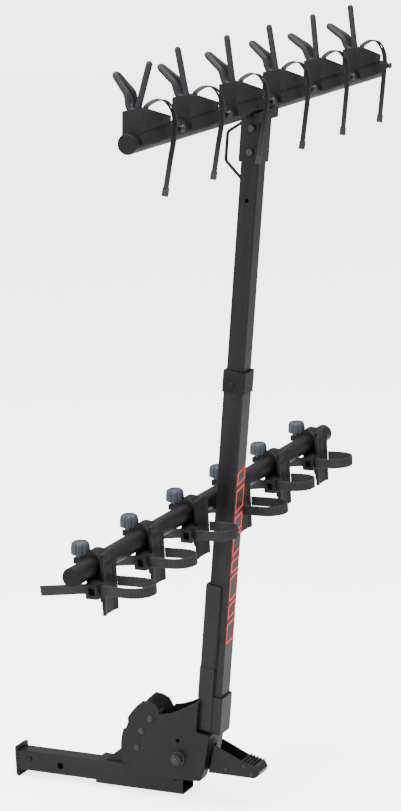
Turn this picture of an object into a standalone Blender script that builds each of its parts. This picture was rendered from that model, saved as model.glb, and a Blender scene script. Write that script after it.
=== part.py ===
"""Hitch mounted bike rack: a telescopic mast with a hook bar for six forks and a lower bar for six wheels.

Frame: the origin is the centre of the hitch pin hole. +X points rearwards, away from the vehicle,
+Y runs along the two bars, and +Z is up. Sizes are in metres. The mast leans rearwards, so its own
frame has local X across the mast towards the rear and local Z along it.
"""

from math import cos, pi, radians, sin

import bmesh
import bpy
from mathutils import Matrix, Vector

GAP = 0.0003

# Hitch tube and its sleeve.
HITCH_TUBE = 0.0508
HITCH_WALL = 0.0050
HITCH_FRONT = -0.118
HITCH_REAR = 0.300
HITCH_PIN_RADIUS = 0.0082
WEDGE_BUTTON_X = -0.086
WEDGE_BUTTON_RADIUS = 0.0062
SLEEVE_OUTER = 0.0610
SLEEVE_FRONT = 0.101
SLEEVE_REAR = 0.340
GUSSET_TOP = 0.060

# Tilting foot of the mast: main pivot, index plates and swivel bracket.
PIVOT = (0.341, 0.070)
PIVOT_BOLT_RADIUS = 0.0070
PIVOT_HUB_RADIUS = 0.0135
PLATE = 0.0060
INDEX_INNER_Y = SLEEVE_OUTER / 2 + GAP
INDEX_RADIUS = 0.163
INDEX_PIN_RADIUS = 0.0060
INDEX_PIN_REACH = 0.116
INDEX_PIN_ANGLES = (131, 152, 175)
SWIVEL_INNER_Y = INDEX_INNER_Y + PLATE + 0.0006
SWIVEL_OUTER_Y = SWIVEL_INNER_Y + PLATE
SWIVEL_RADIUS = 0.104
LOCK_HOLE = (0.340, 0.113)

# Foot pedal lever.
PEDAL_PIVOT = (0.370, 0.052)
PEDAL_PIN_RADIUS = 0.0050
PEDAL_HALF_WIDTH = 0.0250
PEDAL_SHEET = 0.0040
PEDAL_ARM_HALF_WIDTH = 0.0080
TREAD_RIDGES = 5

# Mast: it crosses the hitch tube's centreline at MAST_X and leans rearwards.
MAST_X = 0.400
MAST_LEAN = radians(7)
MAST_OUTER = 0.0508
MAST_OUTER_WALL = 0.0029
MAST_OUTER_SPAN = (0.142, 0.990)
MAST_INNER = 0.04445
MAST_INNER_WALL = 0.0030
MAST_INNER_SPAN = (0.780, 1.622)
MAST_HOLE_ALONG = 1.437
FRONT_CHANNEL_SPAN = (0.300, 0.510)
FOOT_CHANNEL_SPAN = (0.138, 0.232)
FOOT_FLANGE_SPAN = (0.142, 0.302)
FOOT_FRONT_BOTTOM = 0.222
COLLAR_OUTER = 0.0575
COLLAR_SPAN = (0.984, 1.036)
COLLAR_BOLT = (-0.003, 1.004)

# Bars, both round and parallel to Y.
BAR_RADIUS = 0.0220
BAR_WALL = 0.0030
BAR_CAP = 0.0040
BAR_SIDES = 20
LOWER_BAR = (0.433, 0.711)
LOWER_BAR_ENDS = (-0.668, 0.668)
UPPER_BAR = (-0.004, 1.652)
UPPER_BAR_ENDS = (-0.620, 0.712)

# Top bracket and grab handle, in the mast's frame.
BRACKET_OUTER = 0.0545
BRACKET_SPAN = (1.526, 1.640)
BRACKET_BOLT_RADIUS = 0.0050
BRACKET_BOLTS = ((0.003, 1.551), (0.003, 1.606))
FLANGE_HALF_WIDTH = 0.062
HANDLE_RADIUS = 0.0038

# Rows of six stations along the bars.
STATIONS = 6
PITCH = 0.228
SADDLE_ROW_Y = -0.604
CRADLE_ROW_Y = -0.560

# Fork saddle, measured from the upper bar's axis and from the saddle's near end.
SADDLE_LENGTH = 0.138
YOKE_AXIS = (-0.002, 0.063)
YOKE_MIDDLE_Y = 0.024
YOKE_ROD = 0.0070
HOOP_HALF_SPREAD = 0.0145
HOOP_FORWARD = -0.012
HOOP_RISE = 0.037
HOOP_REACH = 0.042
HOOP_BEND = radians(35)
HOOP_ANGLES = (-10.0, -21.5, -21.0, -21.0, -28.0, -28.0)
POST_LENGTH = 0.110
POST_ANGLES = (11.8, -16.0, -12.5, -14.5, -10.5, -12.0)
STUD = (0.169, 0.013)
FORK_STRAP_WIDTH = 0.0115
FORK_STRAP_THICKNESS = 0.0030
FORK_STRAP_SWINGS = (0.026, 0.023, 0.021, 0.012, 0.003, 0.002)

# Wheel cradle, measured from the lower bar's axis and from its own middle.
CLAMP_RADIUS = 0.0310
CLAMP_HALF_WIDTH = 0.0220
KNOB_AXIS = (-0.030, -0.010)
KNOB_BOTTOM = 0.024
KNOB_HEIGHT = 0.028
KNOB_RADIUS = 0.0215
TROUGH_X = 0.0265
TROUGH_MIDDLE_Y = -0.0040
TROUGH_HALF_WIDTH = 0.0310
TROUGH_TOP = 0.032
TROUGH_BOTTOM = -0.105
TROUGH_SHEET = 0.0070
TROUGH_CURL = 0.0040
STRAP_LEVEL = -0.040
STRAP_WIDTH = 0.0230
STRAP_THICKNESS = 0.0032
STRAP_NEAR_Y = -0.0570
STRAP_FAR_Y = 0.0240
STRAP_REACHES = (0.149, 0.134, 0.126, 0.148, 0.116, 0.118)
STRAP_TAIL = -0.1080


def clear_scene():
    for obj in list(bpy.data.objects):
        bpy.data.objects.remove(obj, do_unlink=True)


def material(name, colour, roughness, metallic):
    made = bpy.data.materials.new(name)
    made.use_nodes = True
    shader = made.node_tree.nodes["Principled BSDF"]
    shader.inputs["Base Color"].default_value = (*colour, 1.0)
    shader.inputs["Roughness"].default_value = roughness
    shader.inputs["Metallic"].default_value = metallic
    return made


def empty(name, location, parent=None, turn=0.0):
    made = bpy.data.objects.new(name, None)
    bpy.context.collection.objects.link(made)
    made.parent = parent
    made.location = location
    made.rotation_euler = (0.0, turn, 0.0)
    return made


def place(name, mesh, finish, parent=None, location=(0.0, 0.0, 0.0), rotation=(0.0, 0.0, 0.0)):
    made = bpy.data.objects.new(name, mesh)
    bpy.context.collection.objects.link(made)
    made.parent = parent
    made.location = location
    made.rotation_euler = rotation
    if not mesh.materials:
        mesh.materials.append(finish)
    return made


def finish_mesh(shape, name, smooth=True):
    """Turn a bmesh into a mesh with its faces pointing out."""
    bmesh.ops.remove_doubles(shape, verts=shape.verts, dist=1e-6)
    bmesh.ops.recalc_face_normals(shape, faces=shape.faces)
    mesh = bpy.data.meshes.new(name)
    shape.to_mesh(mesh)
    shape.free()
    if smooth:
        mesh.shade_smooth()
        mesh.set_sharp_from_angle(angle=radians(35))
    return mesh


def rings_mesh(name, rings, capped=True):
    """Skin a list of closed rings of points, with a face on each end or joined end to end."""
    shape = bmesh.new()
    loops = [[shape.verts.new(point) for point in ring] for ring in rings]
    pairs = list(zip(loops, loops[1:]))
    if capped:
        shape.faces.new(loops[0])
        shape.faces.new(loops[-1])
    else:
        pairs.append((loops[-1], loops[0]))
    for first, second in pairs:
        count = len(first)
        for i in range(count):
            j = (i + 1) % count
            shape.faces.new((first[i], first[j], second[j], second[i]))
    return finish_mesh(shape, name)


def prism_y(name, outline, low, high):
    """An outline of (x, z) points carried along Y."""
    return rings_mesh(name, [[(x, y, z) for x, z in outline] for y in (low, high)])


def prism_z(name, outline, low, high):
    """An outline of (x, y) points carried along Z."""
    return rings_mesh(name, [[(x, y, z) for x, y in outline] for z in (low, high)])


def box(name, low, high):
    outline = ((low[0], low[1]), (high[0], low[1]), (high[0], high[1]), (low[0], high[1]))
    return prism_z(name, outline, low[2], high[2])


def arc(centre, radius, start, end, steps):
    """Points on an arc, with angles in degrees counted from the first axis to the second."""
    angles = [radians(start + (end - start) * i / steps) for i in range(steps + 1)]
    return [(centre[0] + radius * cos(a), centre[1] + radius * sin(a)) for a in angles]


def rounded_square(size, corner, steps=2):
    inset = size / 2 - corner
    outline = []
    for turn, (sx, sy) in enumerate(((1, 1), (-1, 1), (-1, -1), (1, -1))):
        outline += arc((sx * inset, sy * inset), corner, 90 * turn, 90 * turn + 90, steps)
    return outline


def square_tube(name, outer, wall, span, corner=0.004):
    """A square tube along Z, open at both ends."""
    outside = rounded_square(outer, corner)
    inside = rounded_square(outer - 2 * wall, max(corner - wall, 0.001))
    low, high = span
    rings = [
        [(x, y, low) for x, y in outside],
        [(x, y, high) for x, y in outside],
        [(x, y, high) for x, y in inside],
        [(x, y, low) for x, y in inside],
    ]
    return rings_mesh(name, rings, capped=False)


def round_tube(name, radius, wall, ends, sides=BAR_SIDES):
    """A round tube along Y, open at both ends."""
    rings = []
    for reach, y in ((radius, ends[0]), (radius, ends[1]), (radius - wall, ends[1]), (radius - wall, ends[0])):
        rings.append([(x, y, z) for x, z in arc((0, 0), reach, 0, 360 * (1 - 1 / sides), sides - 1)])
    return rings_mesh(name, rings, capped=False)


def turned(name, profile, sides, axis="Z"):
    """A profile of (radius, height) points turned about Z or Y, closed on its axis at both ends."""
    rings = []
    for radius, height in profile:
        ring = arc((0, 0), radius, 0, 360 * (1 - 1 / sides), sides - 1)
        if axis == "Z":
            rings.append([(x, y, height) for x, y in ring])
        else:
            rings.append([(x, height, z) for x, z in ring])
    return rings_mesh(name, rings)


def rod_y(name, centre, radius, low, high, sides=14):
    """A round bar along Y through an (x, z) point."""
    ring = arc(centre, radius, 0, 360 * (1 - 1 / sides), sides - 1)
    return prism_y(name, ring, low, high)


def hexagon_y(name, centre, across_flats, low, high):
    return prism_y(name, arc(centre, across_flats / (2 * cos(pi / 6)), 0, 300, 5), low, high)


def sweep(name, points, radius, sides=12, round_end=False):
    """A round rod along a list of points. A round end closes on a small dome."""
    path = [Vector(point) for point in points]
    radii = [radius] * len(path)
    if round_end:
        last, before = path[-1], path[-2]
        ahead = (last - before).normalized()
        path[-1] = last - ahead * radius
        for angle in (30, 60, 80):
            path.append(last - ahead * radius * (1 - sin(radians(angle))))
            radii.append(radius * cos(radians(angle)))
    heading = (path[1] - path[0]).normalized()
    side = heading.orthogonal().normalized()
    rings = []
    for i, point in enumerate(path):
        before = path[max(i - 1, 0)]
        after = path[min(i + 1, len(path) - 1)]
        new_heading = (after - before).normalized()
        side = heading.rotation_difference(new_heading) @ side
        heading = new_heading
        other = heading.cross(side)
        ring = arc((0, 0), radii[i], 0, 360 * (1 - 1 / sides), sides - 1)
        rings.append([point + side * a + other * b for a, b in ring])
    return rings_mesh(name, rings)


def band(name, points, width, thickness, wide_axis):
    """A flat strap along a list of points, with its width kept along one direction."""
    path = [Vector(point) for point in points]
    wide = Vector(wide_axis).normalized()
    rings = []
    for i, point in enumerate(path):
        heading = (path[min(i + 1, len(path) - 1)] - path[max(i - 1, 0)]).normalized()
        normal = heading.cross(wide).normalized()
        across = normal.cross(heading).normalized()
        corners = ((-1, -1), (1, -1), (1, 1), (-1, 1))
        rings.append([point + across * (a * width / 2) + normal * (b * thickness / 2) for a, b in corners])
    return rings_mesh(name, rings)


def smooth_path(points, steps):
    """A Catmull-Rom curve through the points."""
    path = [Vector(point) for point in points]
    path = [2 * path[0] - path[1]] + path + [2 * path[-1] - path[-2]]
    result = []
    for a, b, c, d in zip(path, path[1:], path[2:], path[3:]):
        for i in range(steps):
            t = i / steps
            near = 2 * b + (c - a) * t + (2 * a - 5 * b + 4 * c - d) * t**2
            result.append((near + (3 * b - a - 3 * c + d) * t**3) / 2)
    result.append(path[-2])
    return result


def combine(name, start, steps):
    """Apply Boolean steps of (operation, mesh) to a mesh and give the finished mesh."""
    body = bpy.data.objects.new(name, start)
    bpy.context.collection.objects.link(body)
    tools = []
    for operation, mesh in steps:
        tool = bpy.data.objects.new(name + "_tool", mesh)
        bpy.context.collection.objects.link(tool)
        modifier = body.modifiers.new(operation.lower(), "BOOLEAN")
        modifier.operation = operation
        modifier.solver = "EXACT"
        modifier.object = tool
        tools.append(tool)
    graph = bpy.context.evaluated_depsgraph_get()
    result = bpy.data.meshes.new_from_object(body.evaluated_get(graph))
    for obj in [body] + tools:
        bpy.data.objects.remove(obj, do_unlink=True)
    result.name = name
    result.shade_smooth()
    result.set_sharp_from_angle(angle=radians(35))
    return result


def on_mast(across, along):
    """A point of the mast's frame as world (x, z)."""
    x = MAST_X + across * cos(MAST_LEAN) + along * sin(MAST_LEAN)
    return x, along * cos(MAST_LEAN) - across * sin(MAST_LEAN)


def around_pivot(radius, angle):
    return PIVOT[0] + radius * cos(radians(angle)), PIVOT[1] + radius * sin(radians(angle))


# Hitch side.

def hitch_tube():
    tube = square_tube("hitch_tube", HITCH_TUBE, HITCH_WALL, (HITCH_FRONT, HITCH_REAR), 0.006)
    turn = Matrix.Rotation(pi / 2, 4, "Y")
    tube.transform(turn)
    pin = rod_y("pin", (0.0, 0.0), HITCH_PIN_RADIUS, -0.04, 0.04, 24)
    button = rod_y("button", (WEDGE_BUTTON_X, 0.007), WEDGE_BUTTON_RADIUS + 0.0008, -0.04, 0.04)
    return combine("hitch_tube", tube, [("DIFFERENCE", pin), ("DIFFERENCE", button)])


def hitch_wedge():
    """The plug in the tube's mouth, its end plate and the two snap buttons."""
    half = HITCH_TUBE / 2 - HITCH_WALL - 0.0006
    end = HITCH_FRONT - GAP
    plug = box("plug", (end - 0.002, -half, -half), (WEDGE_BUTTON_X + 0.014, half, half))
    front = end - 0.009
    outline = ((front, -0.036), (front + 0.004, -0.041), (end, -0.041), (end, 0.036), (front, 0.036))
    plate = prism_y("plate", outline, -0.0262, 0.0262)
    button = rod_y("button", (WEDGE_BUTTON_X, 0.007), WEDGE_BUTTON_RADIUS, -0.0285, 0.0285)
    return combine("hitch_wedge", plug, [("UNION", plate), ("UNION", button)])


def base_sleeve():
    """The sleeve welded round the hitch tube, with the ramp gusset on top of it."""
    wall = (SLEEVE_OUTER - HITCH_TUBE) / 2 - GAP
    sleeve = square_tube("sleeve", SLEEVE_OUTER, wall, (SLEEVE_FRONT, SLEEVE_REAR), 0.005)
    sleeve.transform(Matrix.Rotation(pi / 2, 4, "Y"))
    top = SLEEVE_OUTER / 2
    outline = ((0.125, top - 0.002), (0.163, GUSSET_TOP), (0.196, GUSSET_TOP), (0.196, top - 0.002))
    gusset = prism_y("gusset", outline, -0.022, 0.022)
    return combine("base_sleeve", sleeve, [("UNION", gusset)])


def index_plate():
    """One side plate of the base: a sector about the main pivot, with its three index pin holes."""
    outline = [(0.322, 0.005), (0.322, 0.036)]
    outline += arc(PIVOT, PIVOT_HUB_RADIUS, -110, 80, 10)
    outline += [(0.292, 0.172), (0.287, 0.184), (0.281, 0.1915), (0.262, 0.199)]
    outline += arc(PIVOT, INDEX_RADIUS - 0.002, 126, 149, 5)
    outline += arc(PIVOT, INDEX_RADIUS - 0.008, 152, 158, 1)
    outline += arc(PIVOT, INDEX_RADIUS - 0.002, 161, 200, 6)
    outline.append((0.190, 0.005))
    plate = prism_y("index_plate", outline, 0.0, PLATE)
    cuts = [("DIFFERENCE", rod_y("hole", PIVOT, PIVOT_BOLT_RADIUS + GAP, -0.01, 0.02))]
    for angle in INDEX_PIN_ANGLES:
        centre = around_pivot(INDEX_PIN_REACH, angle)
        cuts.append(("DIFFERENCE", rod_y("hole", centre, INDEX_PIN_RADIUS + GAP, -0.01, 0.02)))
    return combine("index_plate", plate, cuts)


def index_pin():
    """A spacer rod with a riveted head on each end."""
    inner = INDEX_INNER_Y + PLATE + GAP
    head = inner + 0.0022
    radius = INDEX_PIN_RADIUS
    half = [(radius, inner), (0.0078, inner), (0.0078, inner + 0.0010), (0.0045, head)]
    profile = [(r, -y) for r, y in reversed(half)] + half
    return turned("index_pin", profile, 16, "Y")


def pivot_bolt():
    """The main bolt with its washer and head, and the nut turned up on its far end."""
    face = SWIVEL_OUTER_Y + GAP
    shank = rod_y("shank", PIVOT, PIVOT_BOLT_RADIUS, -face - 0.002, face + 0.022, 24)
    steps = [
        ("UNION", rod_y("washer", PIVOT, 0.0170, -face - 0.004, -face, 28)),
        ("UNION", hexagon_y("head", PIVOT, 0.0240, -face - 0.019, -face - 0.003)),
        ("UNION", rod_y("tip", PIVOT, 0.0075, -face - 0.022, -face - 0.018, 16)),
        ("UNION", rod_y("flange", PIVOT, 0.0170, face, face + 0.004, 28)),
        ("UNION", hexagon_y("nut", PIVOT, 0.0240, face + 0.003, face + 0.018)),
    ]
    return combine("pivot_bolt", shank, steps)


# Tilting foot.

def web_line(inset):
    """The bracket's rear wall from top to bottom, moved forwards by inset."""
    front = -MAST_OUTER / 2 - GAP
    return [
        on_mast(front - inset, 0.216),
        on_mast(front - inset, 0.1385 - inset),
        (0.428 - inset, 0.1335 - inset * 0.6),
    ] + [(0.4235 - inset, 0.1270 - inset * 0.5), (0.4070 - inset, 0.043), (0.4000 - inset, 0.024)]


def swivel_bracket():
    """A bent plate bracket: two cheeks outside the index plates and a rear wall that carries the mast."""
    rear = web_line(0.0)
    outline = rear + [(0.394, 0.016), (0.330, 0.014)]
    outline += arc(PIVOT, SWIVEL_RADIUS, 214, 124, 9)
    outline += [(0.296, 0.174), (0.318, 0.178), (0.343, 0.187), (0.370, 0.201)]
    whole = prism_y("whole", outline, -SWIVEL_OUTER_Y, SWIVEL_OUTER_Y)
    inner = web_line(PLATE)
    lowest = inner[-1]
    hollow = [(inner[0][0] + 0.01, 0.30)] + inner
    hollow += [(lowest[0], -0.05), (0.1, -0.05), (0.1, 0.30)]
    cuts = [("DIFFERENCE", prism_y("hollow", hollow, -SWIVEL_INNER_Y, SWIVEL_INNER_Y))]
    cuts.append(("DIFFERENCE", box("slot", (0.380, -0.0115, 0.0), (0.440, 0.0115, 0.100))))
    holes = ((PIVOT, PIVOT_BOLT_RADIUS), (PEDAL_PIVOT, PEDAL_PIN_RADIUS), (LOCK_HOLE, 0.0050))
    for centre, radius in holes:
        cuts.append(("DIFFERENCE", rod_y("hole", centre, radius + GAP, -0.07, 0.07)))
    return combine("swivel_bracket", whole, cuts)


def front_channel():
    """The reinforcing channel on the vehicle side of the mast, over its lower half."""
    outer = MAST_OUTER / 2 + 0.0048
    inner = MAST_OUTER / 2 - 0.001
    outline = [(0.007, outer), (-0.0305, outer), (-0.0335, outer - 0.003)]
    outline += [(-0.0335, -outer + 0.003), (-0.0305, -outer), (0.007, -outer), (0.007, -inner)]
    outline += [(-inner, -inner), (-inner, inner), (0.007, inner)]
    return prism_z("front_channel", outline, *FRONT_CHANNEL_SPAN)


def foot_channel():
    """The short channel welded round the rear of the mast's foot."""
    outer = MAST_OUTER / 2 + 0.0045
    inner = MAST_OUTER / 2 - 0.001
    outline = [(0.006, -outer), (outer - 0.003, -outer), (outer, -outer + 0.003)]
    outline += [(outer, outer - 0.003), (outer - 0.003, outer), (0.006, outer), (0.006, inner)]
    outline += [(inner, inner), (inner, -inner), (0.006, -inner)]
    return prism_z("foot_channel", outline, *FOOT_CHANNEL_SPAN)


def foot_flanges():
    """The channel on the vehicle side of the foot: its side walls reach below its front wall."""
    outer = MAST_OUTER / 2 + 0.0062
    inner = MAST_OUTER / 2 - 0.001
    low, high = FOOT_FLANGE_SPAN
    channel = prism_z("foot_flanges", [
        (0.0055, outer), (-0.0315, outer), (-0.0345, outer - 0.003),
        (-0.0345, -outer + 0.003), (-0.0315, -outer), (0.0055, -outer),
        (0.0055, -inner), (-inner, -inner), (-inner, inner), (0.0055, inner),
    ], low, high)
    relief = box("relief", (-0.05, -0.05, low - 0.01), (-MAST_OUTER / 2 + 0.0004, 0.05, FOOT_FRONT_BOTTOM))
    return combine("foot_flanges", channel, [("DIFFERENCE", relief)])


def mast_outer():
    """The lower mast tube with its three channels welded on."""
    tube = square_tube("tube", MAST_OUTER, MAST_OUTER_WALL, MAST_OUTER_SPAN, 0.004)
    channels = [("UNION", front_channel()), ("UNION", foot_channel()), ("UNION", foot_flanges())]
    return combine("mast_outer", tube, channels)


def clamp_collar():
    """The plastic collar over the joint of the two mast tubes, with a stepped bore and a screw."""
    outer = prism_z("collar", rounded_square(COLLAR_OUTER, 0.006), *COLLAR_SPAN)
    seat = MAST_OUTER_SPAN[1] + GAP
    wide = rounded_square(MAST_OUTER + 2 * GAP, 0.004)
    narrow = rounded_square(MAST_INNER + 4 * GAP, 0.003)
    face = -COLLAR_OUTER / 2
    profile = [(0.0068, face + 0.001), (0.0068, face - 0.003), (0.0045, face - 0.005)]
    screw = turned("screw", profile, 16, "Y")
    screw.transform(Matrix.Translation((COLLAR_BOLT[0], 0.0, COLLAR_BOLT[1])))
    steps = [
        ("DIFFERENCE", prism_z("seat", wide, COLLAR_SPAN[0] - 0.01, seat)),
        ("DIFFERENCE", prism_z("bore", narrow, seat - 0.001, COLLAR_SPAN[1] + 0.01)),
        ("UNION", screw),
    ]
    return combine("clamp_collar", outer, steps)


def lower_bar():
    """The lower bar with the saddle block welded between it and the mast."""
    tube = round_tube("tube", BAR_RADIUS, BAR_WALL, LOWER_BAR_ENDS)
    front = -MAST_OUTER / 2 - GAP
    middle = BAR_RADIUS * 0.93
    outline = [(middle, 0.008)]
    for x, z in (on_mast(front, 0.737), on_mast(front, 0.697)):
        outline.append((x - LOWER_BAR[0], z - LOWER_BAR[1]))
    outline.append((middle, -0.008))
    block = prism_y("block", outline, -0.028, 0.028)
    return combine("lower_bar", tube, [("UNION", block)])


def bar_cap(way):
    """The plug in one end of a bar, with its origin at the bar's end."""
    plug = BAR_RADIUS - BAR_WALL - 0.0005
    profile = [(plug - 0.001, -0.016), (plug, -0.014), (plug, GAP), (BAR_RADIUS, GAP)]
    profile += [(BAR_RADIUS, BAR_CAP - 0.0012), (BAR_RADIUS - 0.0015, BAR_CAP)]
    return turned("bar_cap", [(r, way * y) for r, y in profile], BAR_SIDES, "Y")


# Pedal.

def tread():
    """The ridges across the top of the pedal's rear end."""
    start = Vector((0.500, 0.0735))
    end = Vector((0.540, 0.0630))
    along = (end - start).normalized()
    up = Vector((-along.y, along.x))
    step = (end - start).length / TREAD_RIDGES
    outline = [start - up * 0.001]
    for i in range(TREAD_RIDGES):
        foot = start + along * (i * step)
        outline += [foot + up * 0.0008, foot + along * step * 0.25 + up * 0.0045]
        outline += [foot + along * step * 0.62 + up * 0.0045, foot + along * step * 0.85 + up * 0.0008]
    outline += [end + up * 0.0008, end - up * 0.001]
    points = [(p.x, p.y) for p in outline]
    return prism_y("tread", points, -PEDAL_HALF_WIDTH + 0.0008, PEDAL_HALF_WIDTH - 0.0008)


def pedal_lever():
    """A foot lever: a channel behind the bracket, a ridged tread, the latch arm inside and the pivot pin."""
    half = PEDAL_HALF_WIDTH
    outline = [(0.4105, 0.0345), (0.4285, 0.106), (0.500, 0.0735), (0.540, 0.0630)]
    outline += [(0.546, 0.052), (0.541, 0.040), (0.531, 0.034)]
    shell = prism_y("shell", outline, -half, half)
    inner = half - PEDAL_SHEET
    trough = [(0.380, 0.0385), (0.497, 0.0385), (0.497, 0.130), (0.380, 0.130)]
    under = [(0.501, 0.020), (0.530, 0.020), (0.530, 0.0575), (0.501, 0.0655)]
    arm = [(0.400, 0.0365), (0.436, 0.0365), (0.424, 0.062), (0.400, 0.066), (0.380, 0.066)]
    arm += [(0.362, 0.062), (0.348, 0.055), (0.300, 0.062), (0.252, 0.090), (0.244, 0.088)]
    arm += [(0.242, 0.072), (0.252, 0.064), (0.300, 0.050), (0.342, 0.046), (0.386, 0.0425)]
    narrow = PEDAL_ARM_HALF_WIDTH
    reach = SWIVEL_OUTER_Y
    steps = [
        ("DIFFERENCE", prism_y("trough", trough, -inner, inner)),
        ("DIFFERENCE", prism_y("under", under, -inner, inner)),
        ("UNION", prism_y("arm", arm, -narrow, narrow)),
        ("UNION", rod_y("boss", PEDAL_PIVOT, 0.0090, -0.0095, 0.0095, 20)),
        ("UNION", rod_y("pin", PEDAL_PIVOT, PEDAL_PIN_RADIUS, -reach, reach, 16)),
        ("UNION", tread()),
    ]
    return combine("pedal_lever", shell, steps)


# Upper mast.

def mast_inner():
    tube = square_tube("tube", MAST_INNER, MAST_INNER_WALL, MAST_INNER_SPAN, 0.004)
    cuts = [("DIFFERENCE", rod_y("hole", (0.0, MAST_HOLE_ALONG), 0.0050, -0.04, 0.0))]
    for centre in BRACKET_BOLTS:
        cuts.append(("DIFFERENCE", rod_y("hole", centre, BRACKET_BOLT_RADIUS + GAP, -0.04, 0.04)))
    return combine("mast_inner", tube, cuts)


def top_bracket():
    """The sleeve on the mast's top with the seat and flange that carry the upper bar."""
    sleeve = square_tube("sleeve", BRACKET_OUTER, 0.0047, BRACKET_SPAN, 0.005)
    flange = box("flange", (0.0190, -FLANGE_HALF_WIDTH, 1.623), (0.0255, FLANGE_HALF_WIDTH, 1.646))
    steps = [("UNION", flange)]
    steps.append(("DIFFERENCE", box("mouth", (-0.0225, -0.0225, 1.50), (0.0225, 0.0225, 1.622 + GAP))))
    steps.append(("DIFFERENCE", rod_y("seat", UPPER_BAR, BAR_RADIUS + GAP, -0.08, 0.08, BAR_SIDES)))
    for centre in BRACKET_BOLTS:
        steps.append(("DIFFERENCE", rod_y("hole", centre, BRACKET_BOLT_RADIUS + GAP, -0.04, 0.04)))
    return combine("top_bracket", sleeve, steps)


def bracket_bolt():
    """A bolt through the bracket and the mast, with its nut, about its own axis."""
    face = BRACKET_OUTER / 2 + GAP
    shank = rod_y("shank", (0.0, 0.0), BRACKET_BOLT_RADIUS, -face - 0.002, face + 0.002, 16)
    head = hexagon_y("head", (0.0, 0.0), 0.0150, -face - 0.0065, -face)
    nut = hexagon_y("nut", (0.0, 0.0), 0.0150, face, face + 0.0075)
    return combine("bracket_bolt", shank, [("UNION", head), ("UNION", nut)])


def grab_handle():
    """A bent rod on the vehicle side of the mast's top."""
    top_end = [(-BRACKET_OUTER / 2 - GAP, 1.612), (-BRACKET_OUTER / 2 - 0.005, 1.612)]
    low_end = [(-MAST_INNER / 2 - 0.005, 1.482), (-MAST_INNER / 2 - GAP, 1.482)]
    corner = 0.012
    upper = arc((-0.069 + corner, 1.585 - corner * 0.6), corner, 122, 180, 4)
    lower = arc((-0.069 + corner, 1.516 + corner * 0.6), corner, 180, 232, 4)
    points = [(x, 0.0, z) for x, z in top_end + upper + lower + low_end]
    return sweep("grab_handle", points, HANDLE_RADIUS, 10)


# Fork saddles, yokes and straps. Their local origin is on the upper bar's axis at the near end.

def saddle():
    """A moulded housing on the bar: high at its near end, sloping down, with a skirt and a strap lug."""
    sections = ((0.0, 0.064, 0.074), (0.040, 0.060, 0.068), (SADDLE_LENGTH, 0.038, 0.042))
    rings = []
    for y, low_top, high_top in sections:
        outline = ((-0.0215, 0.004), (0.019, 0.004), (0.020, 0.030), (0.0205, high_top))
        outline += ((0.016, high_top + 0.001), (-0.021, low_top + 0.001), (-0.0250, low_top - 0.001))
        rings.append([(x, y, z) for x, z in outline])
    body = rings_mesh("body", rings)
    skirt = [(0.010, 0.012), (0.018, 0.0225), (0.0240, 0.0205), (0.0290, 0.0), (0.020, 0.0)]
    lug = [(0.010, 0.004), (0.010, 0.0225), (0.018, 0.0220), (0.0240, 0.0190), (0.0265, 0.004)]
    steps = [
        ("UNION", prism_y("skirt", skirt, 0.0, SADDLE_LENGTH)),
        ("UNION", prism_y("lug", lug, SADDLE_LENGTH - 0.01, STUD[0] + 0.009)),
        ("DIFFERENCE", rod_y("bar", (0.0, 0.0), BAR_RADIUS + GAP, -0.01, 0.19, BAR_SIDES)),
        ("DIFFERENCE", box("tray", (-0.04, 0.0015, 0.054), (0.0125, 0.090, 0.10))),
    ]
    stud = rod_y("stud", (0.0, 0.0), 0.0055, 0.0, 0.013, 14)
    stud.transform(Matrix.Translation((0.021, STUD[0], STUD[1])) @ Matrix.Rotation(-pi / 2, 4, "Z"))
    steps.append(("UNION", stud))
    return combine("saddle", body, steps)


def hoop():
    """The yoke's narrow loop of coated rod: it leaves the pivot forwards, rises and bends forwards."""
    spread = HOOP_HALF_SPREAD
    tip_y = YOKE_ROD * 1.02
    leg = [(0.0, spread, 0.0), (-0.006, spread, 0.004), (-0.0105, spread, 0.010)]
    leg += [(HOOP_FORWARD, spread, 0.018), (HOOP_FORWARD, spread, HOOP_RISE - 0.006)]
    bend = Vector((-sin(HOOP_BEND), 0.0, cos(HOOP_BEND)))
    start = Vector((HOOP_FORWARD, spread, HOOP_RISE))
    tip = Vector((HOOP_FORWARD, tip_y, HOOP_RISE)) + bend * HOOP_REACH
    leg += [tuple(start.lerp(tip, t)) for t in (0.08, 0.5, 0.9)]
    crown = []
    for angle in (25, 65, 115, 155):
        side = tip_y * cos(radians(angle))
        rise = 0.008 * sin(radians(angle))
        crown.append(tuple(Vector((HOOP_FORWARD, side, HOOP_RISE)) + bend * (HOOP_REACH + rise)))
    mirrored = [(x, -y, z) for x, y, z in reversed(leg)]
    return sweep("hoop", leg + crown + mirrored, YOKE_ROD, 8)


def yoke(post_turn):
    """The coated hoop and its post on one pivot rod, with the origin on the pivot axis."""
    reach = HOOP_HALF_SPREAD + YOKE_ROD * 0.9
    rod = rod_y("rod", (0.0, 0.0), YOKE_ROD * 0.97, -reach, reach, 14)
    post_line = [(0.0, 0.0, 0.0), (0.0, 0.0, 0.05), (0.0, 0.0, POST_LENGTH)]
    post = sweep("post", post_line, YOKE_ROD, 12, round_end=True)
    post.transform(Matrix.Rotation(radians(post_turn), 4, "Y"))
    return combine("yoke", rod, [("UNION", hoop()), ("UNION", post)])


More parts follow.
